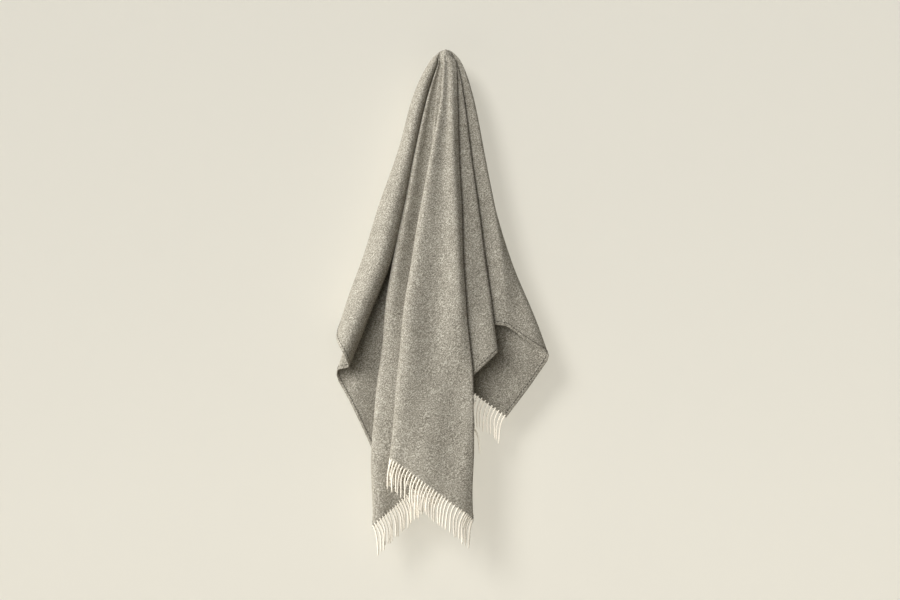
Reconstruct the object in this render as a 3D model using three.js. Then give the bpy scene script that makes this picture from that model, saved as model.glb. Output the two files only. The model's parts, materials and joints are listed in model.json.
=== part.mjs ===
// A fringed wool throw, hung from one point near its middle so that it falls in deep pleats.
// Millimetres, +Z up. The origin is the hanging point, the front faces -Y and the wall is at +Y.
//
// The cloth is drawn in its own flat sheet first, in polar coordinates about the hanging point:
// an angle round the point and a radius out from it. Every radius hangs as one taut line, so a
// cross-section at a given radius is one closed pleated loop, and the folds run down the lines.
import * as THREE from 'three';

// ---- the flat cloth ----
const TO_FRONT_END = 1055;   // hanging point to the front woven end
const TO_BACK_END = 745;     // hanging point to the back woven end
const TO_LEFT_EDGE = 660;    // hanging point to the left selvedge
const TO_RIGHT_EDGE = 640;   // hanging point to the right selvedge
const CLOTH_THICKNESS = 2.6;
const BIAS_STRETCH = 0.02;   // how much longer the cloth hangs on the diagonal of its weave

// ---- the fringe ----
const TASSEL_LENGTH = 80;
const TASSEL_PITCH = 22;     // one tooth is two neighbouring twisted tassels
const TASSEL_WIDTH = 13;
const TASSEL_THICKNESS = 2;
const HEADING_HEIGHT = 5;    // the knotted row that the tassels hang from
const GAP = 1.0;             // clearance between the cloth and its heading row
const DROOP = 0.5;           // how far a tassel's upper part has bent toward hanging straight down
const UPPER_SHARE = 0.4;     // how much of a tassel's free length that upper part is
const RUN_TRIM = 0.066;      // what a run leaves bare at each end, as a share of its pass of the hem

// ---- mesh fineness ----
const ROWS = 11;
const ROW_POWER = 1.2;       // rows are closer together near the hanging point
const TURN_SHARE = 0.06;     // how much of a pass of cloth is in the turn at each end
const PASS_STEPS = [0, TURN_SHARE, 1 - TURN_SHARE];
const SWELL_STEPS = [0, TURN_SHARE, 0.16, 0.32, 0.5, 0.68, 0.82, 1 - TURN_SHARE];
const LINE_STEP = 12;
const SAME_COLUMN = 0.6;     // a column this many degrees from a corner of the sheet is moved onto it
const FACING_REACH = 6;      // how far along a line, and how far round, the cloth's facing is measured
const FACING_TURN = 0.4;

const rad = THREE.MathUtils.degToRad;

// Where each leading fold lies, left or right of the hanging point, at these distances down it.
const DOWN = [0, 50, 150, 300, 450, 600, 800, 1000, 1250];
const LINES = {
  roll: [0, -39, -84, -124, -174, -218, -283, -345, -420],
  lip: [0, -22, -53, -84, -112, -149, -225, -300, -390],
  tuck: [0, -33, -68, -98, -130, -176, -252, -316, -390],
  under: [0, -20, -35, -50, -65, -80, -110, -128, -160],
  left: [0, -20, -50, -83, -112, -141, -166, -189, -190],
  front: [0, -6, -14, -41, -69, -92, -119, -137, -150],
  crest: [0, 12, 17, 19, 26, 33, 42, 47, 48],
  edge: [0, 25, 30, 34, 41, 47, 63, 74, 73],
  narrow: [0, 27, 46, 65, 85, 106, 133, 155, 170],
  ridge: [0, 36, 68, 98, 126, 149, 165, 172, 180],
  flap: [0, 37, 70, 99, 127, 173, 248, 308, 380],
  tail: [0, 20, 35, 45, 52, 58, 66, 74, 80],
};
// The pleats lie in numbered layers, from 0 at the front: where layer 0 is, and one layer's depth,
// at those same distances straight down.
const FRONT_DEPTH = [-10, -34, -52, -62, -72, -84, -100, -104, -104];
const LAYER_DEPTH = [0.8, 2.6, 4.2, 4.8, 5.3, 5.8, 6.6, 7.5, 8.5];
const LAYERS = 24;
const CAP_RADIUS = 20;       // inside this the cloth is a smooth cap
const PLEATED_RADIUS = 110;  // outside this it is fully pleated
const SETTLED_RADIUS = 250;  // outside this the inset folds have their full inset
const CAP_THICKNESS = 1.5;   // at the hanging point, where the cloth is pulled tight
const MOST_OF_LAYER = 0.6;   // the cloth is never thicker than this share of a layer's depth
const LEAST_FALL = 0.25;     // a line of cloth drops at least this share of its own length

// The folds in order round the hanging point. angle is the cloth's own angle, 0 at the middle of
// the front end and growing to the right. A fold lies at its line, moved over by reach degrees of
// cloth and by inset millimetres, and turns from one layer into another. ease is how much longer or
// shorter than its flat length the cloth hangs there.
const FOLDS = [
  { name: 'roll', angle: -58.2, line: 'roll', from: 24, to: 9.5 },
  { name: 'lip', angle: -50, line: 'lip', from: 9, to: 10.4 },
  { name: 'tuck', angle: -48.2, line: 'tuck', from: 11, to: 16.4 },
  { name: 'under', angle: -34.8, line: 'under', from: 16.4, to: 12.5 },
  { name: 'left', angle: -32.03, line: 'left', ease: 1.010, from: 8.8, to: 7.5 },
  { name: 'inner_1', angle: -19.4, line: 'left', reach: 9, ease: 0.985, from: 7.5, to: 6.4 },
  { name: 'inner_2', angle: -8.4, line: 'front', reach: 0.6, from: 6.4, to: 5.3 },
  { name: 'inner_3', angle: 4.6, line: 'front', reach: 10.6, from: 5.3, to: 4.2 },
  { name: 'front', angle: 16.4, line: 'front', ease: 0.983, from: 4.2, to: 1 },
  { name: 'crest', angle: 29.4, line: 'crest', ease: 1.000, from: 0.2, to: 0.2 },
  { name: 'edge', angle: 31.24, line: 'edge', ease: 1.006, from: 1, to: 2 },
  { name: 'pleat', angle: 40.5, line: 'edge', reach: -9, from: 2, to: 3 },
  { name: 'narrow', angle: 53.5, line: 'narrow', ease: 1.006, from: 3, to: 4 },
  { name: 'step_in', angle: 57, line: 'narrow', inset: -30, from: 4.3, to: 10 },
  { name: 'inner_4', angle: 70, line: 'narrow', reach: -14, inset: -20, from: 10, to: 11 },
  { name: 'inner_5', angle: 84, line: 'narrow', inset: -45, from: 11, to: 12 },
  { name: 'inner_6', angle: 98, line: 'narrow', reach: -14, inset: -20, from: 12, to: 13 },
  { name: 'step_out', angle: 117.3, line: 'narrow', inset: -15, from: 13, to: 5 },
  { name: 'ridge', angle: 121.3, line: 'ridge', from: 4.4, to: 4.4 },
  { name: 'flap', angle: 130.3, line: 'flap', ease: 1.004, from: 7.5, to: 10.5 },
  { name: 'back_1', angle: 152, line: 'flap', reach: -21, ease: 0.965, from: 14, to: 15 },
  { name: 'back_2', angle: 165, line: 'flap', reach: -9, from: 15, to: 16 },
  { name: 'back_3', angle: 178, line: 'flap', reach: -22, from: 16, to: 17 },
  { name: 'back_4', angle: 191, line: 'flap', reach: -10, from: 17, to: 18 },
  { name: 'back_5', angle: 204, line: 'flap', reach: -25, from: 18, to: 19 },
  { name: 'tail', angle: 221.54, line: 'tail', from: 19, to: 20 },
  { name: 'side_1', angle: 242, line: 'roll', inset: 25, from: 20, to: 21 },
  { name: 'side_2', angle: 262, line: 'roll', reach: 18, inset: 20, from: 21, to: 22 },
  { name: 'side_3', angle: 284, line: 'roll', inset: 12, from: 22, to: 23 },
  { name: 'side_4', angle: 295, line: 'roll', reach: 10, inset: 12, from: 23, to: 24 },
];
// How far a pass of cloth swells forward from its layer at the distances of DOWN: the pass is named
// by the fold that it starts from, and the shape is how it swells from one side to the other.
const SWELLS = [
  { pass: 'roll', shape: 'roll', sizes: [0, 10, 18, 22, 26, 30, 34, 34, 34] },
  { pass: 'left', shape: 'lean', sizes: [0, 5, 9, 12, 14, 13, 10, 7, 6] },
  { pass: 'front', shape: 'lean', sizes: [0, 4, 6, 8, 8, 7, 5, 3, 2] },
  { pass: 'front', shape: 'rise', sizes: [0, 2, 6, 13, 15, 12, 2, 0, 0] },
  { pass: 'crest', shape: 'fall', sizes: [0, 2, 6, 13, 15, 12, 2, 0, 0] },
];
const { smoothstep } = THREE.MathUtils;
const ROLL_SKEW = 1.9;       // the roll is fullest on its right side
const LEAN_TOP = 0.14;
const LEAN_END = 0.58;
const RISE_START = 0.68;
const FALL_END = 0.9;
const SWELL_SHAPES = {
  roll: (u) => Math.sin(Math.PI * u ** ROLL_SKEW),
  lean: (u) => smoothstep(u, 0, LEAN_TOP) * (1 - smoothstep(u, LEAN_TOP, LEAN_END)),
  rise: (u) => smoothstep(u, RISE_START, 1),
  fall: (u) => 1 - smoothstep(u, 0, FALL_END),
};

const LEFT_SILHOUETTE = FOLDS.find((fold) => fold.name === 'roll').angle;
const RIGHT_SILHOUETTE = FOLDS.find((fold) => fold.name === 'flap').angle;

// A smooth value between the stations of DOWN.
function along(values, r) {
  const passed = DOWN.filter((station) => station <= r).length;
  const i = THREE.MathUtils.clamp(passed - 1, 0, DOWN.length - 2);
  const slope = (k) => {
    const a = Math.max(0, k - 1);
    const b = Math.min(DOWN.length - 1, k + 1);
    return (values[b] - values[a]) / (DOWN[b] - DOWN[a]);
  };
  const span = DOWN[i + 1] - DOWN[i];
  const t = (r - DOWN[i]) / span;
  const h = t * t * (3 - 2 * t);
  const pull = t * (1 - t) * (1 - t) * slope(i) - t * t * (1 - t) * slope(i + 1);
  return values[i] * (1 - h) + values[i + 1] * h + pull * span;
}

const depthOf = (layer, drop) => along(FRONT_DEPTH, drop) + layer * along(LAYER_DEPTH, drop);

function foldSide(fold, r) {
  const settled = smoothstep(r, 0, SETTLED_RADIUS);
  return along(LINES[fold.line], r) + rad(fold.reach ?? 0) * r + (fold.inset ?? 0) * settled;
}

// The corners of one pass of cloth, from the turn of one fold to the turn of the next.
function passCorners(fold, next, r, drop) {
  const a = foldSide(fold, r);
  const b = foldSide(next, r);
  return [
    new THREE.Vector2(a, depthOf((fold.from + fold.to) / 2, drop)),
    new THREE.Vector2(a, depthOf(fold.to, drop)),
    new THREE.Vector2(b, depthOf(next.from, drop)),
    new THREE.Vector2(b, depthOf((next.from + next.to) / 2, drop)),
  ];
}

// How far forward of its layer a pass is, part of the way along its straight run.
function swellOf(fold, u, r) {
  const own = SWELLS.filter((swell) => swell.pass === fold.name);
  return own.reduce((sum, swell) => sum + along(swell.sizes, r) * SWELL_SHAPES[swell.shape](u), 0);
}

// A point part of the way along a pass: a quarter turn, a straight run and another quarter turn.
function pointOnPass(fold, next, share, r, drop) {
  const [start, turnA, turnB, end] = passCorners(fold, next, r, drop);
  const legs = [start.distanceTo(turnA), turnA.distanceTo(turnB), turnB.distanceTo(end)];
  const total = legs[0] + legs[1] + legs[2];
  const run = share * total;
  const across = THREE.MathUtils.clamp((run - legs[0]) / legs[1], 0, 1);
  const forward = new THREE.Vector2(0, -swellOf(fold, across, r));
  if (run < legs[0]) return start.clone().lerp(turnA, run / legs[0]).add(forward);
  if (run <= legs[0] + legs[1]) return turnA.clone().lerp(turnB, across).add(forward);
  return turnB.clone().lerp(end, (run - legs[0] - legs[1]) / legs[2]).add(forward);
}

// The smooth cap that the pleats grow out of: a half ellipse in front and another behind.
function pointOnCap(angle, r, drop) {
  const frontSpan = RIGHT_SILHOUETTE - LEFT_SILHOUETTE;
  const inFront = angle <= RIGHT_SILHOUETTE;
  const share = inFront ? (angle - LEFT_SILHOUETTE) / frontSpan
    : 1 + (angle - RIGHT_SILHOUETTE) / (360 - frontSpan);
  const turn = Math.PI * share;
  const left = along(LINES.roll, r);
  const right = along(LINES.flap, r);
  const middle = depthOf(LAYERS / 2, drop);
  const half = depthOf(LAYERS, drop) - middle;
  return new THREE.Vector2((left + right) / 2 - Math.cos(turn) * (right - left) / 2,
    middle - Math.sin(turn) * half);
}

// The flat sheet's edge: how far it is from the hanging point at this angle.
function edgeRadius(angle) {
  const across = Math.sin(rad(angle));
  const ahead = Math.cos(rad(angle));
  const toSide = across > 0 ? TO_RIGHT_EDGE / across : -TO_LEFT_EDGE / across;
  const toEnd = ahead > 0 ? TO_FRONT_END / ahead : -TO_BACK_END / ahead;
  return Math.min(toSide, toEnd);
}
const stretch = (angle) => 1 + BIAS_STRETCH * Math.sin(2 * rad(angle)) ** 2;
const CORNERS = {
  frontLeft: THREE.MathUtils.radToDeg(Math.atan2(-TO_LEFT_EDGE, TO_FRONT_END)),
  frontRight: THREE.MathUtils.radToDeg(Math.atan2(TO_RIGHT_EDGE, TO_FRONT_END)),
  backRight: THREE.MathUtils.radToDeg(Math.atan2(TO_RIGHT_EDGE, -TO_BACK_END)),
  backLeft: 360 + THREE.MathUtils.radToDeg(Math.atan2(-TO_LEFT_EDGE, -TO_BACK_END)),
};

// Which pass an angle is on, and how far along it.
function passAt(angle) {
  const turned = LEFT_SILHOUETTE + THREE.MathUtils.euclideanModulo(angle - LEFT_SILHOUETTE, 360);
  let i = FOLDS.length - 1;
  while (FOLDS[i].angle > turned) i -= 1;
  const next = FOLDS[(i + 1) % FOLDS.length];
  const nextAngle = i + 1 < FOLDS.length ? next.angle : next.angle + 360;
  return { fold: FOLDS[i], next, share: (turned - FOLDS[i].angle) / (nextAngle - FOLDS[i].angle), turned };
}

// A point of the hung cloth from its place on the flat sheet. It is reached in steps along the
// taut line from the hanging point, and each step keeps the line's length: whatever it goes
// sideways or deep, it doesn't go down.
function hungPoint(angle, radius) {
  const { fold, next, share, turned } = passAt(angle);
  const ease = THREE.MathUtils.lerp(fold.ease ?? 1, next.ease ?? 1, share);
  const length = radius * stretch(turned) * ease;
  let before = new THREE.Vector3(0, depthOf(LAYERS / 2, 0), 0);
  let slope = 0;
  for (let r = 0; r < length; r += LINE_STEP) {
    const step = Math.min(LINE_STEP, length - r);
    const reached = r + step;
    const drop = slope * step - before.z;
    const pleated = smoothstep(reached, CAP_RADIUS, PLEATED_RADIUS);
    const flat = pointOnCap(turned, reached, drop);
    flat.lerp(pointOnPass(fold, next, share, reached, drop), pleated);
    const sideways = (flat.x - before.x) ** 2 + (flat.y - before.y) ** 2;
    slope = Math.sqrt(Math.max(step * step - sideways, (LEAST_FALL * step) ** 2)) / step;
    before = new THREE.Vector3(flat.x, flat.y, before.z - slope * step);
  }
  return before;
}

// The way the hung cloth faces at a point, to its right side.
function facing(angle, radius) {
  const away = hungPoint(angle, radius).sub(hungPoint(angle, radius - FACING_REACH));
  const round = hungPoint(angle + FACING_TURN, radius).sub(hungPoint(angle - FACING_TURN, radius));
  return new THREE.Vector3().crossVectors(away, round).normalize();
}

// A closed thin solid from matching points of its two faces and the triangles of the first face.
function thicken(faceA, faceB, triangles) {
  const count = faceA.length;
  const indices = triangles.flat();
  const edges = new Set();
  triangles.forEach(([a, b, c]) => {
    edges.add(`${a},${b}`).add(`${b},${c}`).add(`${c},${a}`);
    indices.push(a + count, c + count, b + count);
  });
  edges.forEach((edge) => {
    const [a, b] = edge.split(',').map(Number);
    if (!edges.has(`${b},${a}`)) indices.push(a, a + count, b + count, a, b + count, b);
  });
  const geometry = new THREE.BufferGeometry();
  const positions = [...faceA, ...faceB].flatMap((p) => [p.x, p.y, p.z]);
  geometry.setAttribute('position', new THREE.Float32BufferAttribute(positions, 3));
  geometry.setIndex(indices);
  return geometry;
}

// The cloth's columns: a few on each pass, and one at each corner of the flat sheet.
function columnAngles() {
  const angles = [];
  FOLDS.forEach((fold, i) => {
    const nextAngle = i + 1 < FOLDS.length ? FOLDS[i + 1].angle : FOLDS[0].angle + 360;
    const swells = SWELLS.some((swell) => swell.pass === fold.name);
    const steps = swells ? SWELL_STEPS : PASS_STEPS;
    steps.forEach((share) => angles.push(fold.angle + share * (nextAngle - fold.angle)));
  });
  Object.values(CORNERS).forEach((corner) => {
    const nearest = angles.findIndex((angle) => Math.abs(angle - corner) < SAME_COLUMN);
    if (nearest >= 0) angles[nearest] = corner;
    else angles.push(corner);
  });
  return angles.sort((a, b) => a - b);
}

// One column of the cloth: the points of its two faces from near the top to the hem.
function clothColumn(angle) {
  const points = [];
  for (let k = 1; k <= ROWS; k += 1) {
    const radius = edgeRadius(angle) * (k / ROWS) ** ROW_POWER;
    const face = facing(angle, radius);
    const half = Math.min(CLOTH_THICKNESS, MOST_OF_LAYER * along(LAYER_DEPTH, radius)) / 2;
    const middle = hungPoint(angle, radius);
    const right = middle.clone().addScaledVector(face, half);
    const wrong = middle.clone().addScaledVector(face, -half);
    points.push({ middle, face, right, wrong });
  }
  return { angle, points };
}

function wovenCloth(columns) {
  const top = hungPoint(0, 1);
  const right = [top.clone().setZ(0), ...columns.flatMap((c) => c.points.map((p) => p.right))];
  const wrong = [top.clone().setZ(-CAP_THICKNESS), ...columns.flatMap((c) => c.points.map((p) => p.wrong))];
  const triangles = [];
  columns.forEach((column, i) => {
    const a = 1 + i * ROWS;
    const b = 1 + ((i + 1) % columns.length) * ROWS;
    triangles.push([0, a, b]);
    for (let k = 0; k + 1 < ROWS; k += 1) {
      triangles.push([a + k, a + k + 1, b + k + 1], [a + k, b + k + 1, b + k]);
    }
  });
  return thicken(right, wrong, triangles);
}

// The hem at an angle, on the straight line between the two columns beside it.
function hemAt(columns, angle) {
  const i = columns.findIndex((c) => c.angle > angle) - 1;
  const before = columns[i];
  const after = columns[i + 1];
  const share = (angle - before.angle) / (after.angle - before.angle);
  const a = before.points[ROWS - 1];
  const b = after.points[ROWS - 1];
  const edge = b.middle.clone().sub(a.middle).normalize();
  const face = a.face.clone().lerp(b.face, share).normalize();
  const warp = new THREE.Vector3().crossVectors(edge, face).setY(0).normalize();
  if (warp.z > 0) warp.negate();
  return { point: a.middle.clone().lerp(b.middle, share), face, warp };
}

// One run of fringe along the hem: the knotted heading row and the tassels that hang from it.
// A tassel leaves the cloth square to the hem and bends to hang straight down.
function fringeRun(columns, from, to) {
  const start = from + (to - from) * RUN_TRIM;
  const end = to - (to - from) * RUN_TRIM;
  const length = hemAt(columns, start).point.distanceTo(hemAt(columns, end).point);
  const teeth = Math.max(2, Math.round(length / TASSEL_PITCH));
  const down = new THREE.Vector3(0, 0, -1);
  const front = [];
  const back = [];
  const triangles = [];
  const addRow = (hem, distances) => {
    const first = front.length;
    const place = hem.point.clone();
    distances.forEach(([distance, droop]) => {
      const way = hem.warp.clone().lerp(down, droop).normalize();
      place.addScaledVector(way, distance);
      front.push(place.clone().addScaledVector(hem.face, TASSEL_THICKNESS / 2));
      back.push(place.clone().addScaledVector(hem.face, -TASSEL_THICKNESS / 2));
    });
    return first;
  };
  const free = TASSEL_LENGTH - HEADING_HEIGHT;
  const upper = UPPER_SHARE * free;
  const tasselSteps = [[GAP, 0], [HEADING_HEIGHT, 0], [upper, DROOP], [free - upper, 1]];
  const shareWide = TASSEL_WIDTH / TASSEL_PITCH;
  let last = -1;
  for (let i = 0; i < teeth; i += 1) {
    const left = start + ((end - start) * i) / (teeth - 1 + shareWide);
    const right = left + ((end - start) * shareWide) / (teeth - 1 + shareWide);
    const a = addRow(hemAt(columns, left), tasselSteps);
    const b = addRow(hemAt(columns, right), tasselSteps);
    for (let k = 0; k + 1 < tasselSteps.length; k += 1) {
      triangles.push([a + k, a + k + 1, b + k + 1], [a + k, b + k + 1, b + k]);
    }
    if (last >= 0) triangles.push([last, last + 1, a + 1], [last, a + 1, a]);
    last = b;
  }
  return thicken(front, back, triangles);
}

const group = new THREE.Group();
function addPiece(name, geometry, color, roughness) {
  const material = new THREE.MeshStandardMaterial({ color, roughness, metalness: 0 });
  const mesh = new THREE.Mesh(geometry, material);
  mesh.name = name;
  group.add(mesh);
}

const WOOL_GREY = 0xa9a08f;
const YARN_CREAM = 0xefe9da;

const columns = columnAngles().map(clothColumn);
addPiece('woven_cloth', wovenCloth(columns), WOOL_GREY, 0.95);

// Each end's fringe is one run for each pass of the hem, and the runs that can swing are split off.
const FRINGE_RUNS = {
  fringe_front_left_corner: [CORNERS.frontLeft, -28],
  fringe_front_left_tucked: [-28, -19.4],
  fringe_front_inner_1: [-19.4, -8.4],
  fringe_front_inner_2: [-8.4, 4.6],
  fringe_front_inner_3: [4.6, 16.4],
  fringe_front_panel: [16.4, CORNERS.frontRight],
  fringe_back_right_corner: [CORNERS.backRight, 146],
  fringe_back_right_tucked: [146, 152],
  fringe_back_inner_1: [152, 165],
  fringe_back_inner_2: [165, 178],
  fringe_back_inner_3: [178, 191],
  fringe_back_inner_4: [191, 204],
  fringe_back_left_corner: [204, CORNERS.backLeft],
};
Object.entries(FRINGE_RUNS).forEach(([name, [from, to]]) => {
  addPiece(name, fringeRun(columns, from, to), YARN_CREAM, 0.85);
});

export default group;
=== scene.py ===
"""A fringed wool throw hung from one point against a plain wall.

The woven cloth is draped by the same law as the CAD solid, on a fine grid: a flat sheet in polar
coordinates about the hanging point, whose radii hang as taut lines and whose sections are pleated.
Every tassel of the fringe is its own twisted yarn, from its place along the woven end."""

import json
import math
import random
from collections import namedtuple

import bpy
import numpy as np
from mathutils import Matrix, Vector


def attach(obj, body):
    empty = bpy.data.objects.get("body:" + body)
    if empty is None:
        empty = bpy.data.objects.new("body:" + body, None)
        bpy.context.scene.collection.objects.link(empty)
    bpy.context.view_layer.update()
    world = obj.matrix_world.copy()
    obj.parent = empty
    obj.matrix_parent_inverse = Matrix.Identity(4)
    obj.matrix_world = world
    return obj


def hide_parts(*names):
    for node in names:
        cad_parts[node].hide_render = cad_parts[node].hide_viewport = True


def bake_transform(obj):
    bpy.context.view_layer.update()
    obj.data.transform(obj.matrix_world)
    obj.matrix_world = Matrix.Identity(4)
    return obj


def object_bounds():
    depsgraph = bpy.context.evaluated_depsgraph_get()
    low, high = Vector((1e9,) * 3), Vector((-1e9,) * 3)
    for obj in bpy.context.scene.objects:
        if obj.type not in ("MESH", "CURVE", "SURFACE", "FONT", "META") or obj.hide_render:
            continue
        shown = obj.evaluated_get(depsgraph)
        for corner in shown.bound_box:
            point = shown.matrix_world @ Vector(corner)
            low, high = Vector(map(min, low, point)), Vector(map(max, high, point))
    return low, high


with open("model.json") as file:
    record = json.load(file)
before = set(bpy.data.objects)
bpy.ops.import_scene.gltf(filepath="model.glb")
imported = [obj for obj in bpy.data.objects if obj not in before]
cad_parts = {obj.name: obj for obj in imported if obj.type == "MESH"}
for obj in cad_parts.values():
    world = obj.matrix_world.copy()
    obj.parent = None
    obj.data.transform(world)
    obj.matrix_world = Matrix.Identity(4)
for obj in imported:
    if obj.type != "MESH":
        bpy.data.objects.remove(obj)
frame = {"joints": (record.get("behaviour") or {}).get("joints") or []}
cad_box = [list(corner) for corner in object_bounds()]

# ---- the flat cloth, in metres ----
TO_FRONT_END = 1.055
TO_BACK_END = 0.745
TO_LEFT_EDGE = 0.66
TO_RIGHT_EDGE = 0.64
WIDTH = TO_LEFT_EDGE + TO_RIGHT_EDGE
LENGTH = TO_FRONT_END + TO_BACK_END
THICKNESS = 0.0030
BIAS_STRETCH = 0.02     # how much longer the cloth hangs on the diagonal of its weave
LAYER_FILL = 0.32       # the most of one layer's depth that half the cloth's thickness takes up
HEM_ROUNDING = 0.4      # how far the rounded hem stands out, in thicknesses
TIP_HEIGHTS = (0.0022, 0.0006)  # the two faces of the tip above the hanging point

# ---- the fringe ----
TASSEL_LENGTH = 0.078
TASSEL_PITCH = 0.0103
TASSEL_RADIUS = 0.0027
TASSEL_STEPS = 22
TASSEL_SIDES = 8
TASSEL_SEED = 11
ROOT_INSIDE = 0.004             # how far above the hem a tassel starts
DEPTH_KEPT = 0.35               # how much of the hem's slant to the front or back it keeps
HANG_ASIDE = 0.05               # how far it hangs off plumb, sideways and in depth
HANG_AHEAD = 0.04
LENGTH_SPREAD = (0.93, 1.04)
RADIUS_SPREAD = (0.92, 1.1)
LEAN_SPREAD = (0.6, 1.0)
WOBBLE_ASIDE, WOBBLE_AHEAD = 0.05, 0.03
WOBBLE_RATES = (7, 6)
WOBBLE_OFFSET = 1.7
BEND_SHARE = 0.62               # the share of its length in which it bends to hang down
BEND_POWER = 0.9
FULL_TURN = 6.28
PLY_TWIST = 560                 # radians a metre
LOBE_MEAN, LOBE_SIZE = 0.80, 0.26
KNOT_SIZE, KNOT_AT, KNOT_REACH = 0.25, 0.10, 0.05
TIP_THINNING, TIP_FROM, TIP_POINT = 0.35, 0.86, 0.6

# ---- the thread inside each selvedge ----
STITCH_INSET = 0.007
STITCH_LENGTH = 0.0058
STITCH_PITCH = 0.0085
STITCH_RADIUS = 0.0009
STITCH_SIDES = 6
STITCH_LIFT = 0.0001    # how far it lies off the cloth at its ends, and how much more in its middle
STITCH_ARCH = 0.0004
STITCH_HELPER = Vector((0.3, 0.8, 0.52))    # a direction that no stitch runs in

# ---- mesh fineness ----
PASS_COLUMNS = 11
EVEN_SHARE = 0.3        # how evenly the columns of a pass are spaced; the rest is nearer its turns
ROWS = 145
ROW_POWER = 1.06
ROW_SHARES = (np.arange(1, ROWS + 1) / ROWS) ** ROW_POWER
STEP = 0.006
LONGEST_WALK = 1.30
LEAST_SLOPE = 0.25
MAP_MARGIN = 0.01
TINY = 1e-9

# Where each leading fold lies, left or right of the hanging point, at these distances down it.
DOWN = np.array([0, 0.05, 0.15, 0.30, 0.45, 0.60, 0.80, 1.00, 1.25])
LINES = {
    "roll": [0, -0.039, -0.084, -0.124, -0.174, -0.218, -0.283, -0.345, -0.420],
    "lip": [0, -0.022, -0.053, -0.084, -0.112, -0.149, -0.225, -0.300, -0.390],
    "tuck": [0, -0.033, -0.068, -0.098, -0.130, -0.176, -0.252, -0.316, -0.390],
    "under": [0, -0.020, -0.035, -0.050, -0.065, -0.080, -0.110, -0.128, -0.160],
    "left": [0, -0.020, -0.050, -0.083, -0.112, -0.141, -0.166, -0.189, -0.190],
    "front": [0, -0.006, -0.014, -0.041, -0.069, -0.092, -0.119, -0.137, -0.150],
    "crest": [0, 0.012, 0.017, 0.019, 0.026, 0.033, 0.042, 0.047, 0.048],
    "edge": [0, 0.025, 0.030, 0.034, 0.041, 0.047, 0.063, 0.074, 0.073],
    "narrow": [0, 0.027, 0.046, 0.065, 0.085, 0.106, 0.133, 0.155, 0.170],
    "ridge": [0, 0.036, 0.068, 0.098, 0.126, 0.149, 0.165, 0.172, 0.180],
    "flap": [0, 0.037, 0.070, 0.099, 0.127, 0.173, 0.248, 0.308, 0.380],
    "tail": [0, 0.020, 0.035, 0.045, 0.052, 0.058, 0.066, 0.074, 0.080],
}
# The pleats lie in numbered layers, from 0 at the front: where layer 0 is, and one layer's depth.
FRONT_DEPTH = [-0.010, -0.034, -0.052, -0.062, -0.072, -0.084, -0.100, -0.104, -0.104]
LAYER_DEPTH = [0.0008, 0.0026, 0.0042, 0.0048, 0.0053, 0.0058, 0.0066, 0.0075, 0.0085]
LAYERS = 24
CAP_RADIUS = 0.004      # where the cap at the hanging point starts to turn into pleats
PLEATED_RADIUS = 0.055  # where it is all pleats
SETTLED_RADIUS = 0.250  # where the folds have all their inset
CAP_FLARE = 0.30        # how much wider the cap is at its top, and where that ends
FLARE_RADIUS = 0.045
TURN_LIMIT = 0.45       # the most of a pass that the turn at one end takes

# A fold's angle on the flat cloth and its reach past its line are in degrees, its inset in metres.
# The cloth comes into it on one layer and leaves it on another.
Fold = namedtuple("Fold", "name angle line reach inset layer_in layer_out")
FOLDS = [Fold(*row) for row in (
    ("roll", -58.2, "roll", 0, 0, 24, 9.5),
    ("lip", -50, "lip", 0, 0, 9, 10.4),
    ("tuck", -48.2, "tuck", 0, 0, 11, 16.4),
    ("under", -34.8, "under", 0, 0, 16.4, 12.5),
    ("left", -32.03, "left", 0, 0, 8.8, 7.5),
    ("inner_1", -19.4, "left", 9, 0, 7.5, 6.4),
    ("inner_2", -8.4, "front", 0.6, 0, 6.4, 5.3),
    ("inner_3", 4.6, "front", 10.6, 0, 5.3, 4.2),
    ("front", 16.4, "front", 0, 0, 4.2, 1),
    ("crest", 29.4, "crest", 0, 0, 0.2, 0.2),
    ("edge", 31.24, "edge", 0, 0, 1, 2),
    ("pleat", 40.5, "edge", -9, 0, 2, 3),
    ("narrow", 53.5, "narrow", 0, 0, 3, 4),
    ("step_in", 57, "narrow", 0, -0.030, 4.3, 10),
    ("inner_4", 70, "narrow", -14, -0.020, 10, 11),
    ("inner_5", 84, "narrow", 0, -0.045, 11, 12),
    ("inner_6", 98, "narrow", -14, -0.020, 12, 13),
    ("step_out", 117.3, "narrow", 0, -0.015, 13, 5),
    ("ridge", 121.3, "ridge", 0, 0, 4.4, 4.4),
    ("flap", 130.3, "flap", 0, 0, 7.5, 10.5),
    ("back_1", 152, "flap", -21, 0, 14, 15),
    ("back_2", 165, "flap", -9, 0, 15, 16),
    ("back_3", 178, "flap", -22, 0, 16, 17),
    ("back_4", 191, "flap", -10, 0, 17, 18),
    ("back_5", 204, "flap", -25, 0, 18, 19),
    ("tail", 221.54, "tail", 0, 0, 19, 20),
    ("side_1", 242, "roll", 0, 0.025, 20, 21),
    ("side_2", 262, "roll", 18, 0.020, 21, 22),
    ("side_3", 284, "roll", 0, 0.012, 22, 23),
    ("side_4", 295, "roll", 10, 0.012, 23, 24),
)]
# How much longer or shorter than its flat length the cloth hangs along these folds.
EASE = {"left": 1.010, "inner_1": 0.985, "front": 0.983, "edge": 1.006, "narrow": 1.006,
        "flap": 1.004, "back_1": 0.965}
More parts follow.
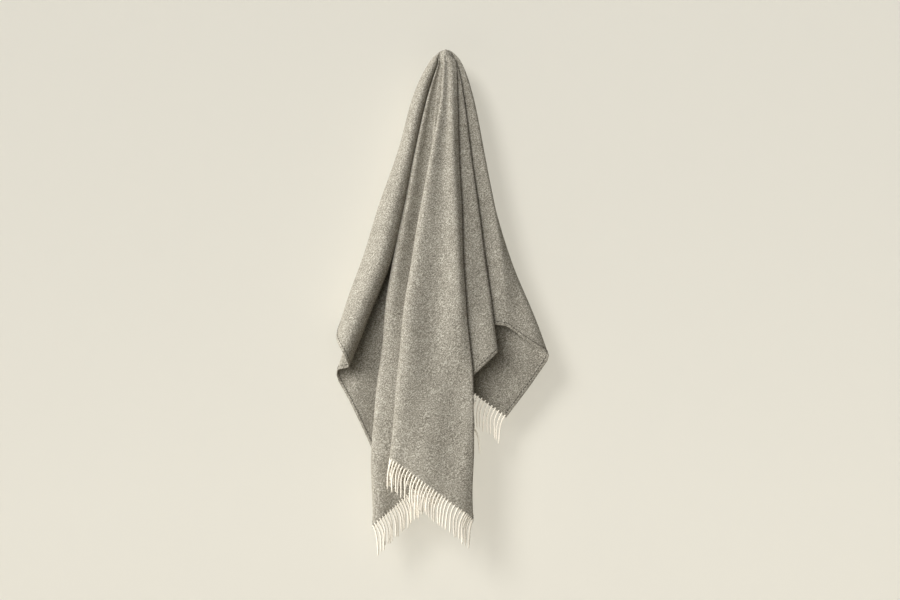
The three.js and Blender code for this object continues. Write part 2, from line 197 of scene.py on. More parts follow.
# How far a pass of cloth swells forward, at the distances of DOWN, and the shape of the swelling.
# The pass is named by the fold that it starts from.
SWELLS = [
    ("roll", "roll", [0, 0.010, 0.018, 0.022, 0.026, 0.030, 0.034, 0.034, 0.034]),
    ("left", "lean", [0, 0.005, 0.009, 0.012, 0.014, 0.013, 0.010, 0.007, 0.006]),
    ("front", "lean", [0, 0.004, 0.006, 0.008, 0.008, 0.007, 0.005, 0.003, 0.002]),
    ("front", "rise", [0, 0.002, 0.005, 0.010, 0.011, 0.009, 0.002, 0, 0]),
    ("crest", "fall", [0, 0.002, 0.005, 0.010, 0.011, 0.009, 0.002, 0, 0]),
]
ROLL_SKEW = 1.9         # the roll is fullest on its right side
LEAN_TOP = 0.14
LEAN_END = 0.58
RISE_START = 0.68
FALL_END = 0.9

# Two ridges are softened: over this many degrees of cloth, and this far to each side.
SOFT_RIDGES = ("crest", "ridge")
SOFT_WIDTH = 1.3
SOFT_REACH = 1.9

# The gentle waves of hanging wool: size in metres, and radians a metre across and up, and at 0.
DEPTH_WAVES = [(0.0035, 34, 6.5, 0.6), (0.0025, 61, -11, 2.1)]
SIDE_WAVES = [(0.0022, 0, 13, 0.4), (0.0012, 9, 29, 0)]
WAVES_FROM = 0.15
WAVES_FULL = 0.9

FOLD_ANGLE = np.array([fold.angle for fold in FOLDS] + [FOLDS[0].angle + 360])


def fold_angle(name):
    return next(fold.angle for fold in FOLDS if fold.name == name)


FRONT_SPAN = fold_angle("flap") - FOLD_ANGLE[0]


def along(values, r):
    """A smooth value between the stations of DOWN."""
    values = np.asarray(values, float)
    slopes = np.empty_like(values)
    slopes[1:-1] = (values[2:] - values[:-2]) / (DOWN[2:] - DOWN[:-2])
    slopes[0] = (values[1] - values[0]) / (DOWN[1] - DOWN[0])
    slopes[-1] = (values[-1] - values[-2]) / (DOWN[-1] - DOWN[-2])
    i = np.clip(np.searchsorted(DOWN, r, side="right") - 1, 0, len(DOWN) - 2)
    span = DOWN[i + 1] - DOWN[i]
    t = (r - DOWN[i]) / span
    h = t * t * (3 - 2 * t)
    pull = t * (1 - t) ** 2 * slopes[i] - t * t * (1 - t) * slopes[i + 1]
    return values[i] * (1 - h) + values[i + 1] * h + pull * span


def depth(layer, drop):
    return along(FRONT_DEPTH, drop) + layer * along(LAYER_DEPTH, drop)


def swell_shape(name, u):
    """How a swelling rises and falls over the share u of a pass's flat run."""
    if name == "roll":
        return np.sin(np.pi * u**ROLL_SKEW)
    if name == "lean":
        return smoothstep(u, 0, LEAN_TOP) * (1 - smoothstep(u, LEAN_TOP, LEAN_END))
    if name == "rise":
        return smoothstep(u, RISE_START, 1)
    return 1 - smoothstep(u, 0, FALL_END)


def smoothstep(x, low, high):
    t = np.clip((x - low) / (high - low), 0, 1)
    return t * t * (3 - 2 * t)


def edge_radius(angle):
    """How far the flat sheet's edge is from the hanging point at each angle."""
    across = np.sin(np.radians(angle))
    ahead = np.cos(np.radians(angle))
    side = np.where(across > 0, TO_RIGHT_EDGE, -TO_LEFT_EDGE) / np.where(across == 0, TINY, across)
    end = np.where(ahead > 0, TO_FRONT_END, -TO_BACK_END) / np.where(ahead == 0, TINY, ahead)
    return np.minimum(side, end)


def fold_sides(r):
    """Where every fold lies sideways at radius r of each column: one row for each fold."""
    settled = smoothstep(r, 0, SETTLED_RADIUS)
    return np.stack([along(LINES[fold.line], r) + math.radians(fold.reach) * r
                     + fold.inset * settled for fold in FOLDS])


class Drape:
    """The hung places of a set of radii of the cloth, one for each angle, stepped down together."""

    def __init__(self, angles):
        self.angles = FOLD_ANGLE[0] + (np.asarray(angles, float) - FOLD_ANGLE[0]) % 360
        i = np.clip(np.searchsorted(FOLD_ANGLE, self.angles, side="right") - 1, 0, len(FOLDS) - 1)
        self.fold = i
        self.next = (i + 1) % len(FOLDS)
        self.share = (self.angles - FOLD_ANGLE[i]) / (FOLD_ANGLE[i + 1] - FOLD_ANGLE[i])
        ease = [EASE.get(fold.name, 1.0) for fold in FOLDS]
        self.stretch = 1 + BIAS_STRETCH * np.sin(2 * np.radians(self.angles)) ** 2
        self.stretch *= np.interp(self.angles, FOLD_ANGLE, ease + ease[:1])
        self.names = np.array([fold.name for fold in FOLDS])[i]
        self.path = self.walk()

    def section(self, r, drop):
        """The points of the section at radius r, one on each column's own pass."""
        sides = fold_sides(r)
        here = np.arange(len(self.angles))
        layers = np.array([[fold.layer_in, fold.layer_out] for fold in FOLDS])
        a = sides[self.fold, here]
        b = sides[self.next, here]
        la, lb = layers[self.fold], layers[self.next]
        corners = [
            np.stack([a, depth(la.mean(1), drop)], 1),
            np.stack([a, depth(la[:, 1], drop)], 1),
            np.stack([b, depth(lb[:, 0], drop)], 1),
            np.stack([b, depth(lb.mean(1), drop)], 1),
        ]
        place, u = rounded_path(corners, self.share)
        for name, shape, sizes in SWELLS:
            swell = along(sizes, r) * swell_shape(shape, u)
            place[:, 1] -= np.where(self.names == name, swell, 0)
        return place

    def cap(self, r, drop):
        """The smooth cap that the pleats grow out of: half an ellipse in front and half behind."""
        front = self.angles <= FOLD_ANGLE[0] + FRONT_SPAN
        share = np.where(front, (self.angles - FOLD_ANGLE[0]) / FRONT_SPAN,
                         1 + (self.angles - FOLD_ANGLE[0] - FRONT_SPAN) / (360 - FRONT_SPAN))
        left = along(LINES["roll"], r)
        right = along(LINES["flap"], r)
        middle = depth(LAYERS / 2, drop)
        half = depth(LAYERS, drop) - middle
        half_width = (right - left) / 2 * (1 + CAP_FLARE * (1 - smoothstep(r, 0, FLARE_RADIUS)))
        return np.stack([(left + right) / 2 - np.cos(np.pi * share) * half_width,
                         middle - np.sin(np.pi * share) * half], 1)

    def walk(self):
        """Steps down every radius at once, keeping each line's length."""
        count = len(self.angles)
        steps = int(LONGEST_WALK / STEP)
        before = np.zeros((count, 3))
        before[:, 1] = depth(LAYERS / 2, 0.0)
        slope = np.zeros(count)
        path = [before]
        for k in range(1, steps + 1):
            r = np.full(count, k * STEP)
            drop = slope * STEP - before[:, 2]
            pleated = smoothstep(r, CAP_RADIUS, PLEATED_RADIUS)[:, None]
            flat = self.cap(r, drop) * (1 - pleated) + self.section(r, drop) * pleated
            sideways = ((flat - before[:, :2]) ** 2).sum(1)
            slope = np.sqrt(np.maximum(STEP**2 - sideways, (LEAST_SLOPE * STEP) ** 2)) / STEP
            before = np.stack([flat[:, 0], flat[:, 1], before[:, 2] - slope * STEP], 1)
            path.append(before)
        return np.stack(path, 1)

    def at(self, radius):
        """The hung place of each column at its own radius on the flat sheet."""
        place = np.clip(radius * self.stretch / STEP, 0, self.path.shape[1] - 1.001)
        k = place.astype(int)
        t = (place - k)[:, None]
        here = np.arange(len(self.angles))
        return self.path[here, k] * (1 - t) + self.path[here, k + 1] * t


def rounded_path(corners, share):
    """Points along start, corner, corner, end, with rounded corners, and their shares of the
    middle leg."""
    p0, c1, c2, p3 = corners
    pairs = ((p0, c1), (c1, c2), (c2, p3))
    legs = [np.linalg.norm(q - p, axis=1) for p, q in pairs]
    t1 = np.minimum(legs[0], TURN_LIMIT * legs[1])
    t2 = np.minimum(legs[2], TURN_LIMIT * legs[1])
    toward = [(q - p) / np.maximum(leg, TINY)[:, None] for (p, q), leg in zip(pairs, legs)]
    a1, b1 = c1 - toward[0] * t1[:, None], c1 + toward[1] * t1[:, None]
    a2, b2 = c2 - toward[1] * t2[:, None], c2 + toward[2] * t2[:, None]
    bend1 = (2 * np.linalg.norm(b1 - a1, axis=1) + 2 * t1) / 3
    bend2 = (2 * np.linalg.norm(b2 - a2, axis=1) + 2 * t2) / 3
    lengths = np.stack([legs[0] - t1, bend1, legs[1] - t1 - t2, bend2, legs[2] - t2], 1)
    ends = np.cumsum(lengths, 1)
    run = share * ends[:, -1]

    def part(k):
        start = ends[:, k] - lengths[:, k]
        return np.clip((run - start) / np.maximum(lengths[:, k], TINY), 0, 1)[:, None]

    def bend(a, c, b, t):
        return a * (1 - t) ** 2 + 2 * c * t * (1 - t) + b * t * t

    pieces = [
        p0 + (a1 - p0) * part(0), bend(a1, c1, b1, part(1)), b1 + (a2 - b1) * part(2),
        bend(a2, c2, b2, part(3)), b2 + (p3 - b2) * part(4),
    ]
    which = np.minimum((run[:, None] > ends + 1e-12).sum(1), 4)
    flat_run = np.clip((run - ends[:, 0]) / np.maximum(ends[:, 3] - ends[:, 0], TINY), 0, 1)
    return np.stack(pieces)[which, np.arange(len(share))], flat_run


def corner_angle(side, end):
    return math.degrees(math.atan2(side, end))


FRONT_LEFT = corner_angle(-TO_LEFT_EDGE, TO_FRONT_END)
FRONT_RIGHT = corner_angle(TO_RIGHT_EDGE, TO_FRONT_END)
BACK_RIGHT = corner_angle(TO_RIGHT_EDGE, -TO_BACK_END)
BACK_LEFT = 360 + corner_angle(-TO_LEFT_EDGE, -TO_BACK_END)


def column_angles():
    """Columns over every pass, closer together towards the turns, with one at each corner."""
    angles = []
    for start, end in zip(FOLD_ANGLE[:-1], FOLD_ANGLE[1:]):
        even = np.arange(PASS_COLUMNS) / PASS_COLUMNS
        share = (1 - EVEN_SHARE) * (1 - np.cos(np.pi * even)) / 2 + EVEN_SHARE * even
        angles.extend(start + share * (end - start))
    angles = np.array(angles)
    for corner in (FRONT_LEFT, FRONT_RIGHT, BACK_RIGHT, BACK_LEFT):
        angles[np.argmin(abs(angles - corner))] = corner
    return np.sort(angles)


def waves(rows, x, z):
    return sum(size * np.sin(x * across + z * up + start) for size, across, up, start in rows)


def sway(points):
    """The cloth's waves: the same for every layer, so that none meets another."""
    x, z = points[..., 0], points[..., 2]
    low = smoothstep(-z, WAVES_FROM, WAVES_FULL)
    moved = points.copy()
    moved[..., 1] += low * waves(DEPTH_WAVES, x, z)
    moved[..., 0] += low * waves(SIDE_WAVES, x, z)
    return moved


def drape_grid():
    """The cloth's middle surface: places, and each place's flat coordinates."""
    angles = column_angles()
    drape = Drape(angles)
    reach = edge_radius(angles)
    grid = np.stack([drape.at(reach * share) for share in ROW_SHARES], 1)
    apart = angles[:, None] - angles[None, :]
    weights = np.exp(-((apart / SOFT_WIDTH) ** 2))
    weights /= weights.sum(1, keepdims=True)
    for name in SOFT_RIDGES:
        smooth = np.einsum("ij,jkc->ikc", weights, grid)
        near = np.exp(-(((angles - fold_angle(name)) / SOFT_REACH) ** 2))[:, None, None]
        grid = grid * (1 - near) + smooth * near
    radius = reach[:, None] * ROW_SHARES[None, :]
    flat = np.stack([radius * np.sin(np.radians(angles))[:, None],
                     -radius * np.cos(np.radians(angles))[:, None]], 2)
    return angles, sway(grid), flat


def grid_normals(grid):
    across = np.roll(grid, -1, 0) - np.roll(grid, 1, 0)
    down = np.empty_like(grid)
    down[:, 1:-1] = grid[:, 2:] - grid[:, :-2]
    down[:, 0] = grid[:, 1] - grid[:, 0]
    down[:, -1] = grid[:, -1] - grid[:, -2]
    normals = np.cross(down, across)
    return normals / np.maximum(np.linalg.norm(normals, axis=2, keepdims=True), 1e-12), down


def make_cloth(angles, grid, flat):
    """The cloth as one closed sheet: two faces, a rounded hem and a tip."""
    columns, rows = grid.shape[:2]
    normals, down = grid_normals(grid)
    half = np.minimum(THICKNESS / 2, LAYER_FILL * along(LAYER_DEPTH, -grid[..., 2]))[..., None]
    right = grid + normals * half
    wrong = grid - normals * half
    outward = down[:, -1] / np.linalg.norm(down[:, -1], axis=1, keepdims=True)
    hem = grid[:, -1] + outward * THICKNESS * HEM_ROUNDING
    tip = [grid[:, 0].mean(0) + (0, 0, height) for height in TIP_HEIGHTS]
    points = np.concatenate([right.reshape(-1, 3), wrong.reshape(-1, 3), hem, tip])
    face_a = np.arange(columns * rows).reshape(columns, rows)
    face_b = face_a + columns * rows
    hems = 2 * columns * rows + np.arange(columns)
    tips = 2 * columns * rows + columns + np.arange(2)
    after = np.roll(np.arange(columns), -1)
    quads = [
        (face_a[:, :-1], face_a[:, 1:], face_a[after, 1:], face_a[after, :-1]),
        (face_b[:, :-1], face_b[after, :-1], face_b[after, 1:], face_b[:, 1:]),
        (face_a[:, -1], hems, hems[after], face_a[after, -1]),
        (hems, face_b[:, -1], face_b[after, -1], hems[after]),
    ]
    faces = np.concatenate([np.stack(quad, -1).reshape(-1, 4) for quad in quads]).tolist()
    faces += [[tips[0], face_a[i, 0], face_a[after[i], 0]] for i in range(columns)]
    faces += [[tips[1], face_b[after[i], 0], face_b[i, 0]] for i in range(columns)]
    mesh = bpy.data.meshes.new("woven_throw")
    mesh.from_pydata(points.tolist(), [], [list(map(int, face)) for face in faces])
    mesh.validate()
    face_places = flat.reshape(-1, 2)
    places = np.concatenate([face_places, face_places, flat[:, -1], np.zeros((2, 2))])
    set_bake_map(mesh, places, columns * rows)
    for polygon in mesh.polygons:
        polygon.use_smooth = True
    mesh.update()
    cloth = bpy.data.objects.new("woven_throw", mesh)
    bpy.context.collection.objects.link(cloth)
    return cloth


def set_bake_map(mesh, places, face_points):
    """A map for baking: the flat cloth's own coordinates, with its two faces side by side."""
    corner_vertex = np.empty(len(mesh.loops), int)
    mesh.loops.foreach_get("vertex_index", corner_vertex)
    starts = np.empty(len(mesh.polygons), int)
    totals = np.empty(len(mesh.polygons), int)
    mesh.polygons.foreach_get("loop_start", starts)
    mesh.polygons.foreach_get("loop_total", totals)
    on_wrong_face = (corner_vertex >= face_points) & (corner_vertex < 2 * face_points)
    on_wrong_tip = corner_vertex == len(places) - 1
    is_wrong = np.repeat(np.maximum.reduceat(on_wrong_face | on_wrong_tip, starts), totals)
    u = (places[corner_vertex, 0] + TO_LEFT_EDGE) / WIDTH
    v = (places[corner_vertex, 1] + TO_FRONT_END) / LENGTH
    half = 0.5
    uv = np.stack([(MAP_MARGIN + (half - 2 * MAP_MARGIN) * u) + half * is_wrong,
                   MAP_MARGIN + (1 - 2 * MAP_MARGIN) * v], 1)
    layer = mesh.uv_layers.new(name="OFBake")
    layer.data.foreach_set("uv", uv.astype(np.float32).ravel())


# ---- the runs of the fringe ----
# Each run goes from one angle of the cloth to another and is listed with the body it belongs to;
# only the runs on the cloth are attached to their body. Two passes of the hem are split where the
# cloth in front of them starts to hold their fringe.
LEFT_SPLIT = -28
RIGHT_SPLIT = 146
RUNS = {
    "fringe_front_left_corner": (FRONT_LEFT, LEFT_SPLIT, "left_fringe"),
    "fringe_front_left_tucked": (LEFT_SPLIT, fold_angle("inner_1"), "cloth"),
    "fringe_front_inner_1": (fold_angle("inner_1"), fold_angle("inner_2"), "cloth"),
    "fringe_front_inner_2": (fold_angle("inner_2"), fold_angle("inner_3"), "cloth"),
    "fringe_front_inner_3": (fold_angle("inner_3"), fold_angle("front"), "cloth"),
    "fringe_front_panel": (fold_angle("front"), FRONT_RIGHT, "front_fringe"),
    "fringe_back_right_corner": (BACK_RIGHT, RIGHT_SPLIT, "right_fringe"),
    "fringe_back_right_tucked": (RIGHT_SPLIT, fold_angle("back_1"), "cloth"),
    "fringe_back_inner_1": (fold_angle("back_1"), fold_angle("back_2"), "cloth"),
    "fringe_back_inner_2": (fold_angle("back_2"), fold_angle("back_3"), "cloth"),
    "fringe_back_inner_3": (fold_angle("back_3"), fold_angle("back_4"), "cloth"),
    "fringe_back_inner_4": (fold_angle("back_4"), fold_angle("back_5"), "cloth"),
    "fringe_back_left_corner": (fold_angle("back_5"), BACK_LEFT, "rear_fringe"),
}


def tassel_angles():
    """The angle of every tassel, evenly spaced along each woven end."""
    count = int(WIDTH / TASSEL_PITCH)
    across = -TO_LEFT_EDGE + WIDTH * (np.arange(count) + 0.5) / count
    front = np.degrees(np.arctan2(across, TO_FRONT_END))
    back = np.degrees(np.arctan2(across, -TO_BACK_END)) % 360
    return np.concatenate([front, np.sort(back)])


def between_columns(angles, angle):
    """The columns on either side of an angle of the cloth, and the share of the way across."""
    turned = angles[0] + (angle - angles[0]) % 360
    ring = np.append(angles, angles[0] + 360)
    i = int(np.clip(np.searchsorted(ring, turned, side="right") - 1, 0, len(angles) - 1))
    return i, (i + 1) % len(angles), (turned - ring[i]) / (ring[i + 1] - ring[i])


def tassel_roots(angles, grid):
    """Where each tassel leaves the hem, the way the hem runs there, and the way the cloth faces."""
    hem = grid[:, -1]
    normals, _ = grid_normals(grid)
    roots = []
    for angle in tassel_angles():
        i, j, t = between_columns(angles, angle)
        place = hem[i] * (1 - t) + hem[j] * t
        edge = hem[j] - hem[i]
        face = normals[i, -1] * (1 - t) + normals[j, -1] * t
        roots.append((angle, Vector(place), Vector(edge).normalized(), Vector(face).normalized()))
    return roots


def tassel_centre(root, edge, face, rng):
    """The line of one tassel: square out of the hem, then bending to hang straight down."""
    square = edge.cross(face)
    if square.z > 0:
        square.negate()
    square.y *= DEPTH_KEPT
    square.normalize()
    aside = rng.uniform(-HANG_ASIDE, HANG_ASIDE)
    down = Vector((aside, rng.uniform(-HANG_AHEAD, HANG_AHEAD), -1)).normalized()
    length = TASSEL_LENGTH * rng.uniform(*LENGTH_SPREAD)
    place = root - square * ROOT_INSIDE
    points = [place.copy()]
    wave = rng.uniform(0, FULL_TURN)
    lean = rng.uniform(*LEAN_SPREAD)
    for k in range(1, TASSEL_STEPS + 1):
        s = k / TASSEL_STEPS
        bend = min(1.0, (s / BEND_SHARE) ** BEND_POWER) * lean + (1 - lean) * s
        way = square.lerp(down, bend).normalized()
        way.x += WOBBLE_ASIDE * math.sin(wave + s * WOBBLE_RATES[0])
        way.y += WOBBLE_AHEAD * math.cos(wave * WOBBLE_OFFSET + s * WOBBLE_RATES[1])
        place = place + way.normalized() * (length / TASSEL_STEPS)
        points.append(place.copy())
    return points


def ring_faces(base, rings, sides):
    """The faces of a tube whose rings of points follow one another from point base."""
    faces = []
    for ring in range(rings - 1):
        low = base + ring * sides
        high = low + sides
        for side in range(sides):
            n = (side + 1) % sides
            faces.append((low + side, low + n, high + n, high + side))
    return faces


def yarn_tube(points, radius, rng):
    """A two-ply twisted yarn along points: its section is a soft figure of eight that turns."""
    verts = []
    sides = TASSEL_SIDES
    turn = rng.uniform(0, FULL_TURN)
    helper = Vector((0, 1, 0))
    travelled = 0.0
    count = len(points)
    for k, point in enumerate(points):
        ahead = points[min(k + 1, count - 1)] - points[max(k - 1, 0)]
        axis = ahead.normalized()
        across = axis.cross(helper).normalized()
        up = across.cross(axis)
        if k:
            travelled += (point - points[k - 1]).length
        share = k / (count - 1)
        knot = KNOT_SIZE * math.exp(-((share - KNOT_AT) / KNOT_REACH) ** 2)
        taper = 1 + knot - TIP_THINNING * smoothstep(share, TIP_FROM, 1.0)
        for side in range(sides):
            a = 2 * math.pi * side / sides
            lobe = LOBE_MEAN + LOBE_SIZE * math.cos(2 * (a - turn - travelled * PLY_TWIST))
            r = radius * taper * lobe
            verts.append(point + across * (r * math.cos(a)) + up * (r * math.sin(a)))
    faces = ring_faces(0, count, sides)
    first, last = len(verts), len(verts) + 1
    verts.append(points[0])
    verts.append(points[-1] + (points[-1] - points[-2]).normalized() * radius * TIP_POINT)
    base = (count - 1) * sides
    for side in range(sides):
        n = (side + 1) % sides
        faces.append((first, n, side))
        faces.append((last, base + side, base + n))
    return verts, faces


def make_fringe(angles, grid):
    """One object of twisted tassels for each run of the fringe, and the name of its body."""
    rng = random.Random(TASSEL_SEED)
    roots = tassel_roots(angles, grid)
    pieces = {}
    for name, (start, end, body) in RUNS.items():
        verts, faces = [], []
        for angle, root, edge, face in roots:
            if not start <= angle < end:
                continue
            line = tassel_centre(root, edge, face, rng)
            v, f = yarn_tube(line, TASSEL_RADIUS * rng.uniform(*RADIUS_SPREAD), rng)
            base = len(verts)
            verts += v
            faces += [tuple(base + i for i in polygon) for polygon in f]
        pieces[name] = (link_mesh(name.replace("fringe", "tassels"), verts, faces), body)
    return pieces


def on_grid(grid, angles, angle, share):
    """What a grid holds at an angle of the cloth and a share of the way out to its edge."""
    i, j, across = between_columns(angles, angle)
    k = int(np.clip(np.searchsorted(ROW_SHARES, share, side="right") - 1, 0, ROWS - 2))
    out = (share - ROW_SHARES[k]) / (ROW_SHARES[k + 1] - ROW_SHARES[k])
    near = grid[i, k] * (1 - across) + grid[j, k] * across
    far = grid[i, k + 1] * (1 - across) + grid[j, k + 1] * across
    return Vector(near * (1 - out) + far * out)


def make_stitches(angles, grid):
    """The overlock thread inside each selvedge: a short dash on each face of the cloth, again and
    again."""
    normals, _ = grid_normals(grid)
    verts, faces = [], []
    for side in (-TO_LEFT_EDGE + STITCH_INSET, TO_RIGHT_EDGE - STITCH_INSET):
        ahead = -TO_BACK_END + STITCH_INSET
        while ahead < TO_FRONT_END - STITCH_INSET:
            ends = []
            for reach in (ahead, ahead + STITCH_LENGTH):
                angle = math.degrees(math.atan2(side, reach))
                share = math.hypot(side, reach) / float(edge_radius(np.array([angle]))[0])
                ends.append([on_grid(values, angles, angle, share) for values in (grid, normals)])
            outward = (ends[0][1] + ends[1][1]).normalized()
            for face in (1, -1):
                lift = face * (THICKNESS / 2 + STITCH_LIFT)
                start, end = [place + normal.normalized() * lift for place, normal in ends]
                middle = (start + end) / 2 + outward * (face * STITCH_ARCH)
                add_thread(verts, faces, [start, middle, end])
            ahead += STITCH_PITCH
    return link_mesh("selvedge_stitches", verts, faces)


def add_thread(verts, faces, points):
    """One short thread with closed ends."""
    base = len(verts)
    sides = STITCH_SIDES
    axis = (points[-1] - points[0]).normalized()
    across = axis.cross(STITCH_HELPER).normalized()
    up = across.cross(axis)
    for point in points:
        for k in range(sides):
            a = 2 * math.pi * k / sides
            verts.append(point + (across * math.cos(a) + up * math.sin(a)) * STITCH_RADIUS)
    faces += ring_faces(base, len(points), sides)
    faces.append(tuple(base + k for k in reversed(range(sides))))
    faces.append(tuple(base + (len(points) - 1) * sides + k for k in range(sides)))


def link_mesh(name, verts, faces):
    mesh = bpy.data.meshes.new(name)
    mesh.from_pydata(verts, [], faces)
    for polygon in mesh.polygons:
        polygon.use_smooth = True
    mesh.update()
    piece = bpy.data.objects.new(name, mesh)
    bpy.context.collection.objects.link(piece)
    return piece


# ---- materials ----
TWILL_SLANT = 38        # degrees off level
FLECK_SHARE = 0.66      # how much of the wool's colour comes from each pattern
SPECKLE_SHARE = 0.26
CLOUD_SHARE = 0.08
RIB_SHARE = 0.25        # how much the twill's ribs add to its height
DARK_FIBRE = (0.105, 0.092, 0.072, 1)
MIXED_FIBRE = (0.286, 0.267, 0.224, 1)
CREAM_FIBRE = (0.69, 0.662, 0.580, 1)
# YARN_SHADE is a shaded copy of the cream: painted shade for the gaps between the plies, scattered
# by noise.
YARN_SHADE = (0.70, 0.635, 0.52, 1)
YARN_CREAM = (0.87, 0.83, 0.74, 1)
THREAD_BROWN = (0.06, 0.052, 0.04, 1)
WALL_CREAM = (0.845, 0.825, 0.75, 1)
FLOOR_CREAM = (0.74, 0.70, 0.63, 1)


class Nodes:
    """Short calls for building a material's nodes."""

    def __init__(self, name):
        self.material = bpy.data.materials.new(name)
        self.material.use_nodes = True
        self.tree = self.material.node_tree
        self.shader = self.tree.nodes["Principled BSDF"]

    def add(self, kind, inputs=None, **settings):
        node = self.tree.nodes.new(kind)
        for key, value in settings.items():
            setattr(node, key, value)
        for key, value in (inputs or {}).items():
            if hasattr(value, "is_output"):
                self.tree.links.new(value, node.inputs[key])
            else:
                node.inputs[key].default_value = value
        return node

    def noise(self, place, scale, detail, roughness):
        inputs = {"Vector": place, "Scale": scale, "Detail": detail, "Roughness": roughness}
        return self.add("ShaderNodeTexNoise", inputs).outputs[0]

    def plus_times(self, value, more, factor):
        inputs = {0: more, 1: factor, 2: value}
        return self.add("ShaderNodeMath", inputs, operation="MULTIPLY_ADD").outputs[0]

    def link(self, output, socket):
        self.tree.links.new(output, self.shader.inputs[socket])

    def bump(self, height, strength, distance):
        inputs = {"Height": height, "Strength": strength, "Distance": distance}
        self.link(self.add("ShaderNodeBump", inputs).outputs[0], "Normal")


def wool_material():
    """Brushed melange twill: cream and grey-brown fibres in small slanting flecks, with a nap."""
    n = Nodes("wool_twill")
    place = n.add("ShaderNodeTexCoord").outputs["Object"]
    slant = (0, math.radians(TWILL_SLANT), 0)
    turned = n.add("ShaderNodeMapping", {"Vector": place, "Rotation": slant}).outputs[0]
    streak = n.add("ShaderNodeMapping", {"Vector": turned, "Scale": (280, 370, 450)}).outputs[0]
    flecks = n.noise(streak, 1.0, 2.0, 0.65)
    speckle = n.noise(place, 860.0, 2.0, 0.7)
    cloud = n.noise(place, 26.0, 3.0, 0.6)
    mixed = n.add("ShaderNodeMath", {0: flecks, 1: FLECK_SHARE}, operation="MULTIPLY").outputs[0]
    mixed = n.plus_times(mixed, speckle, SPECKLE_SHARE)
    mixed = n.plus_times(mixed, cloud, CLOUD_SHARE)
    ramp = n.add("ShaderNodeValToRGB", {"Fac": mixed})
    stops = ramp.color_ramp.elements
    stops[0].position, stops[0].color = 0.345, DARK_FIBRE
    stops[1].position, stops[1].color = 0.665, CREAM_FIBRE
    stops.new(0.50).color = MIXED_FIBRE
    n.link(ramp.outputs[0], "Base Color")
    rib_inputs = {"Vector": turned, "Scale": 125.0, "Distortion": 2.5, "Detail": 2.0,
                  "Detail Scale": 1.5}
    ribs = n.add("ShaderNodeTexWave", rib_inputs, wave_type="BANDS", bands_direction="Z").outputs[0]
    height = n.plus_times(mixed, ribs, RIB_SHARE)
    n.bump(height, 0.5, 0.0010)
    rough = n.add("ShaderNodeMapRange", {"Value": mixed, "To Min": 0.98, "To Max": 0.86}).outputs[0]
    n.link(rough, "Roughness")
    n.shader.inputs["Sheen Weight"].default_value = 0.12
    n.shader.inputs["Sheen Roughness"].default_value = 0.5
    n.shader.inputs["Sheen Tint"].default_value = (0.95, 0.90, 0.82, 1)
    n.shader.inputs["Specular IOR Level"].default_value = 0.1
    return n.material


def yarn_material():
    """Soft undyed yarn, twisted: cream with darker flecks in a random noise, partly fibre tone and
    partly painted shade standing in for the shade between the plies.
    """
    n = Nodes("fringe_yarn")
    place = n.add("ShaderNodeTexCoord").outputs["Object"]
    inputs = {"Vector": place, "Scale": 900.0, "Detail": 2.0}
    fibres_and_painted_shade = n.add("ShaderNodeTexNoise", inputs).outputs[0]
    ramp = n.add("ShaderNodeValToRGB", {"Fac": fibres_and_painted_shade})
    stops = ramp.color_ramp.elements
    # the darker stop is painted shade between the plies, placed by random noise
    stops[0].position, stops[0].color = 0.30, YARN_SHADE
    stops[1].position, stops[1].color = 0.60, YARN_CREAM
    n.link(ramp.outputs[0], "Base Color")
    n.bump(fibres_and_painted_shade, 0.4, 0.0006)
    n.shader.inputs["Roughness"].default_value = 0.9
    n.shader.inputs["Sheen Weight"].default_value = 0.2
    n.shader.inputs["Specular IOR Level"].default_value = 0.15
    return n.material


def thread_material():
    """Grey-brown overlock thread."""
    n = Nodes("overlock_thread")
    n.shader.inputs["Base Color"].default_value = THREAD_BROWN
    n.shader.inputs["Roughness"].default_value = 0.85
    return n.material


def wall_material():
    """Matt cream paint. From behind it is clear, so that the back of the throw can be seen."""
    n = Nodes("wall_paint")
    n.shader.inputs["Base Color"].default_value = WALL_CREAM
    n.shader.inputs["Roughness"].default_value = 0.95
    n.shader.inputs["Specular IOR Level"].default_value = 0.1
    behind = n.add("ShaderNodeNewGeometry").outputs["Backfacing"]
    clear = n.add("ShaderNodeBsdfTransparent").outputs[0]
    mix = n.add("ShaderNodeMixShader", {0: behind, 1: n.shader.outputs[0], 2: clear}).outputs[0]
    n.tree.links.new(mix, n.tree.nodes["Material Output"].inputs["Surface"])
    return n.material


def floor_material():
    """Matt pale paint."""
    n = Nodes("floor_paint")
    n.shader.inputs["Base Color"].default_value = FLOOR_CREAM
    n.shader.inputs["Roughness"].default_value = 0.95
    return n.material


# ---- the stage ----
WALL_GAP = 0.012        # from the back of the throw to the wall
FLOOR_DROP = 0.85       # from the lowest tassel to the floor
STAGE_HALF = 4.0
WALL_TOP = 2.2
WORLD_STRENGTH = 0.045
LAMP_DISTANCE = 3
LAMP_COLOR = (1.0, 0.985, 0.955)
WORLD_COLOR = (1.0, 0.975, 0.93, 1)
FRAME_WIDTH = 2.36      # what the camera sees across the throw
CAMERA_DISTANCE = 6.0
CAMERA_X, CAMERA_Z = 0.0105, -0.6563
SENSOR_WIDTH = 36


def stage_plane(name, corners, material):
    mesh = bpy.data.meshes.new(name)
    mesh.from_pydata(corners, [], [(0, 1, 2, 3)])
    plane = bpy.data.objects.new(name, mesh)
    plane.data.materials.append(material)
    bpy.context.collection.objects.link(plane)
    return plane


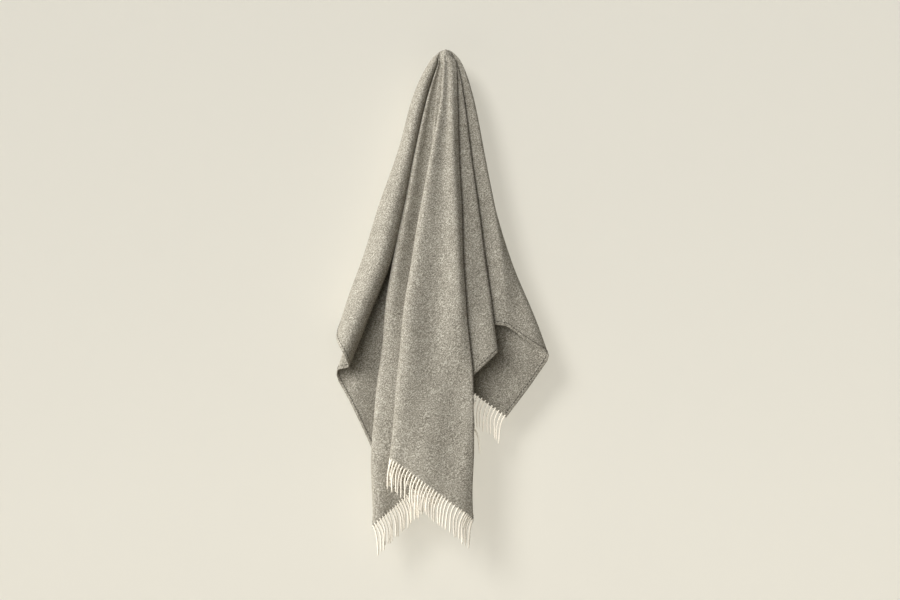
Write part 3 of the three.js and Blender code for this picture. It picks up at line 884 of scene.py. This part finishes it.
def soft_sun(name, left, above, strength, spread, only, blocked_by=()):
    """A broad, far-off light that lights only the pieces named. Where blocked_by names pieces,
    only they cast shadows in it."""
    light = bpy.data.lights.new(name, "SUN")
    light.energy = strength
    light.angle = math.radians(spread)
    light.color = LAMP_COLOR
    lamp = bpy.data.objects.new(name, light)
    lamp.location = toward_light(left, above) * LAMP_DISTANCE
    lamp.rotation_euler = (-toward_light(left, above)).to_track_quat("-Z", "Y").to_euler()
    bpy.context.collection.objects.link(lamp)
    lamp.light_linking.receiver_collection = gathered(name + "_lit", only)
    if blocked_by:
        lamp.light_linking.blocker_collection = gathered(name + "_blockers", blocked_by)


def gathered(name, pieces):
    group = bpy.data.collections.new(name)
    for piece in pieces:
        group.objects.link(piece)
    return group


def toward_light(left, above):
    """The way to a light this many degrees to the left of the camera's side and above the level."""
    a, e = math.radians(left), math.radians(above)
    return Vector((-math.sin(a) * math.cos(e), -math.cos(a) * math.cos(e), math.sin(e)))


def make_stage(box_low, box_high, pieces):
    """The wall, the floor and the lights. The throw and the wall are lit separately, and one of
    the wall's lights isn't blocked by the throw, so its shadow on the wall stays soft and pale."""
    wall_y = box_high[1] + WALL_GAP
    floor_z = box_low[2] - FLOOR_DROP
    half = STAGE_HALF
    wall = stage_plane("wall", [(-half, wall_y, floor_z), (half, wall_y, floor_z),
                                (half, wall_y, WALL_TOP), (-half, wall_y, WALL_TOP)],
                       wall_material())
    wall.visible_shadow = False
    floor = stage_plane("floor", [(-half, -half, floor_z), (half, -half, floor_z),
                                  (half, half, floor_z), (-half, half, floor_z)],
                        floor_material())
    back_fringe = [piece for piece in pieces if piece.name.startswith("tassels_back")]
    # name, degrees left of the camera's side, degrees above the level, strength, spread, lit pieces
    soft_sun("key", 42, 22, 1.55, 34, pieces)
    soft_sun("fill", 21, 14, 1.35, 34, pieces)
    soft_sun("side", 74, 14, 2.8, 26, pieces)
    soft_sun("back_fringe_fill", -20, 12, 2.0, 40, back_fringe)
    soft_sun("wall_key", 32, 30, 0.92, 22, [wall, floor])
    soft_sun("wall_wash", 10, 16, 1.83, 60, [wall, floor], blocked_by=[floor])
    world = bpy.data.worlds.new("studio")
    world.use_nodes = True
    background = world.node_tree.nodes["Background"]
    background.inputs["Color"].default_value = WORLD_COLOR
    background.inputs["Strength"].default_value = WORLD_STRENGTH
    bpy.context.scene.world = world
    bpy.context.scene.view_settings.view_transform = "Standard"


def make_camera():
    """Straight on, far off with a long lens, framing the throw as it hangs in the middle."""
    camera = bpy.data.cameras.new("camera")
    camera.sensor_width = SENSOR_WIDTH
    camera.lens = SENSOR_WIDTH * CAMERA_DISTANCE / FRAME_WIDTH
    holder = bpy.data.objects.new("camera", camera)
    holder.location = (CAMERA_X, -CAMERA_DISTANCE, CAMERA_Z)
    holder.rotation_euler = (math.pi / 2, 0, 0)
    bpy.context.collection.objects.link(holder)
    bpy.context.scene.camera = holder


make_camera()
angles, grid, flat = drape_grid()
cloth = make_cloth(angles, grid, flat)
wool = wool_material()
yarn = yarn_material()
cloth.data.materials.append(wool)
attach(cloth, "cloth")
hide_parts("woven_cloth")
fringe = make_fringe(angles, grid)
fringe_pieces = [piece for piece, _ in fringe.values()]
swings = {joint["child"]: joint for joint in frame["joints"]}
for node, (piece, body) in fringe.items():
    piece.data.materials.append(yarn)
    if body == "cloth":
        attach(piece, body)
    else:
        away = Vector(swings[body]["axis"]).cross(Vector((0, 1, 0))).normalized()
        away = -away if away.z > 0 else away
        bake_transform(piece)
    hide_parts(node)
stitches = make_stitches(angles, grid)
stitches.data.materials.append(thread_material())
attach(stitches, "cloth")
make_stage(*cad_box, [cloth, stitches] + fringe_pieces)
